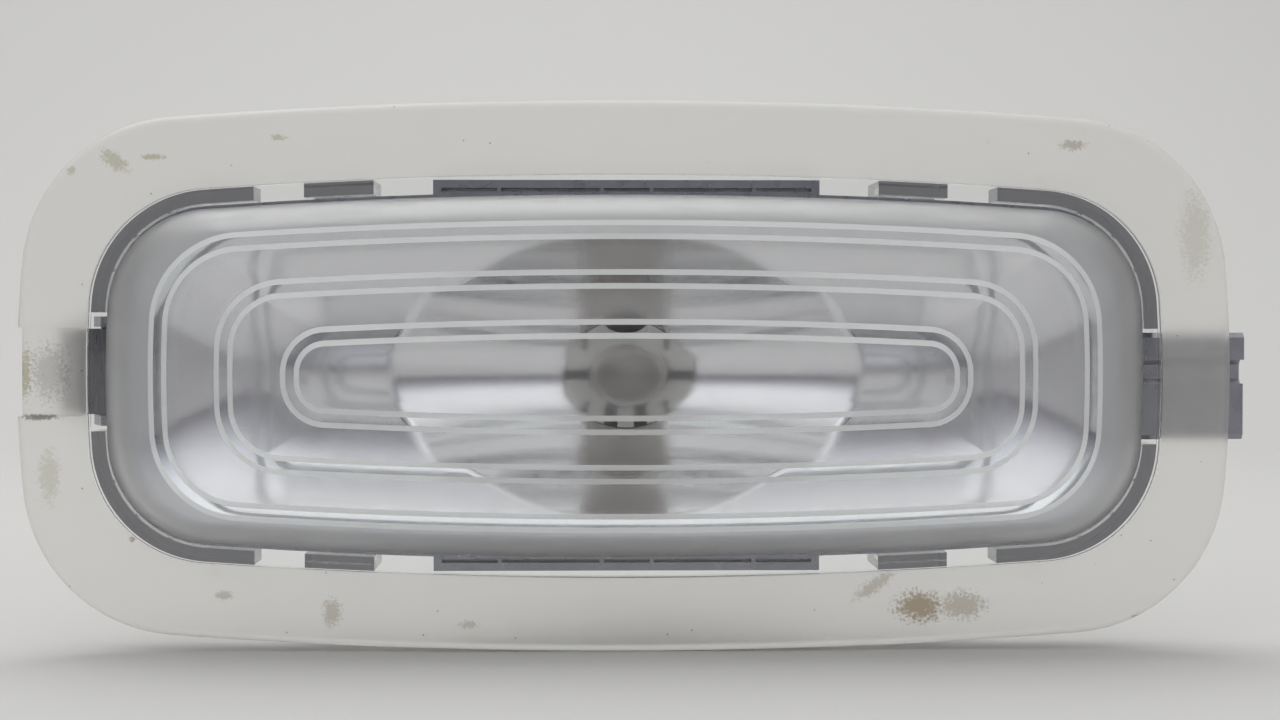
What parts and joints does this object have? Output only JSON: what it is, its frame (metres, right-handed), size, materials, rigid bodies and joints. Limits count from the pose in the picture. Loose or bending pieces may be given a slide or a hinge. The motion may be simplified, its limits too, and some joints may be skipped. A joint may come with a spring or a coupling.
{
  "type": "car dome light",
  "caption": "Snap-in interior roof lamp with a stepped clear lens, metallised reflector housing, spring clip and twist-out bulb holder.",
  "frame": {"origin": "middle of the opening in the roof lining, on the plane where the flange's back meets the lining", "axes": "+X along the lamp to the fixed tongue's end, -Y out of the lens into the cabin, +Y into the roof, +Z towards the long edge that is uppermost in the picture"},
  "size_m": [0.1526, 0.0452, 0.0682],
  "materials": {
    "clear_lens": "clear polycarbonate, frosted by a fine texture on the flange and the dome's terraces, polished in the band and the strips, with light scratches and brown stains",
    "metallised_plastic": "moulded plastic with a bright vacuum-metallised skin",
    "spring_steel": "plain spring steel strip, lightly scratched",
    "white_plastic": "heat-resistant white moulding, satin",
    "tinned_brass": "stamped brass strip with a thin tin plating",
    "bulb_glass": "clear glass, slightly greyed from use",
    "filament_wire": "wound tungsten wire",
    "lead_wire": "drawn wire"
  },
  "bodies": {
    "housing": {"reflector_housing": "metallised_plastic", "lens": "clear_lens"},
    "clip": {"spring_clip": "spring_steel"},
    "holder": {"bulb_holder": "white_plastic", "contact_left": "tinned_brass", "contact_right": "tinned_brass", "bulb_glass": "bulb_glass", "bulb_filament": "filament_wire", "bulb_lead_upper": "lead_wire", "bulb_lead_lower": "lead_wire"}
  },
  "joints": [
    {"name": "holder_twist", "type": "hinge", "parent": "housing", "child": "holder", "pos_m": [0, 0.0254, 0], "axis": [0, -1, 0], "range_deg": [0, 40]},
    {"name": "clip_flex", "type": "hinge", "parent": "housing", "child": "clip", "pos_m": [-0.0663, 0.0125, 0.0005], "axis": [0, 0, 1], "range_deg": [0, 6], "stiffness_Nm_per_rad": 0.6}
  ]
}
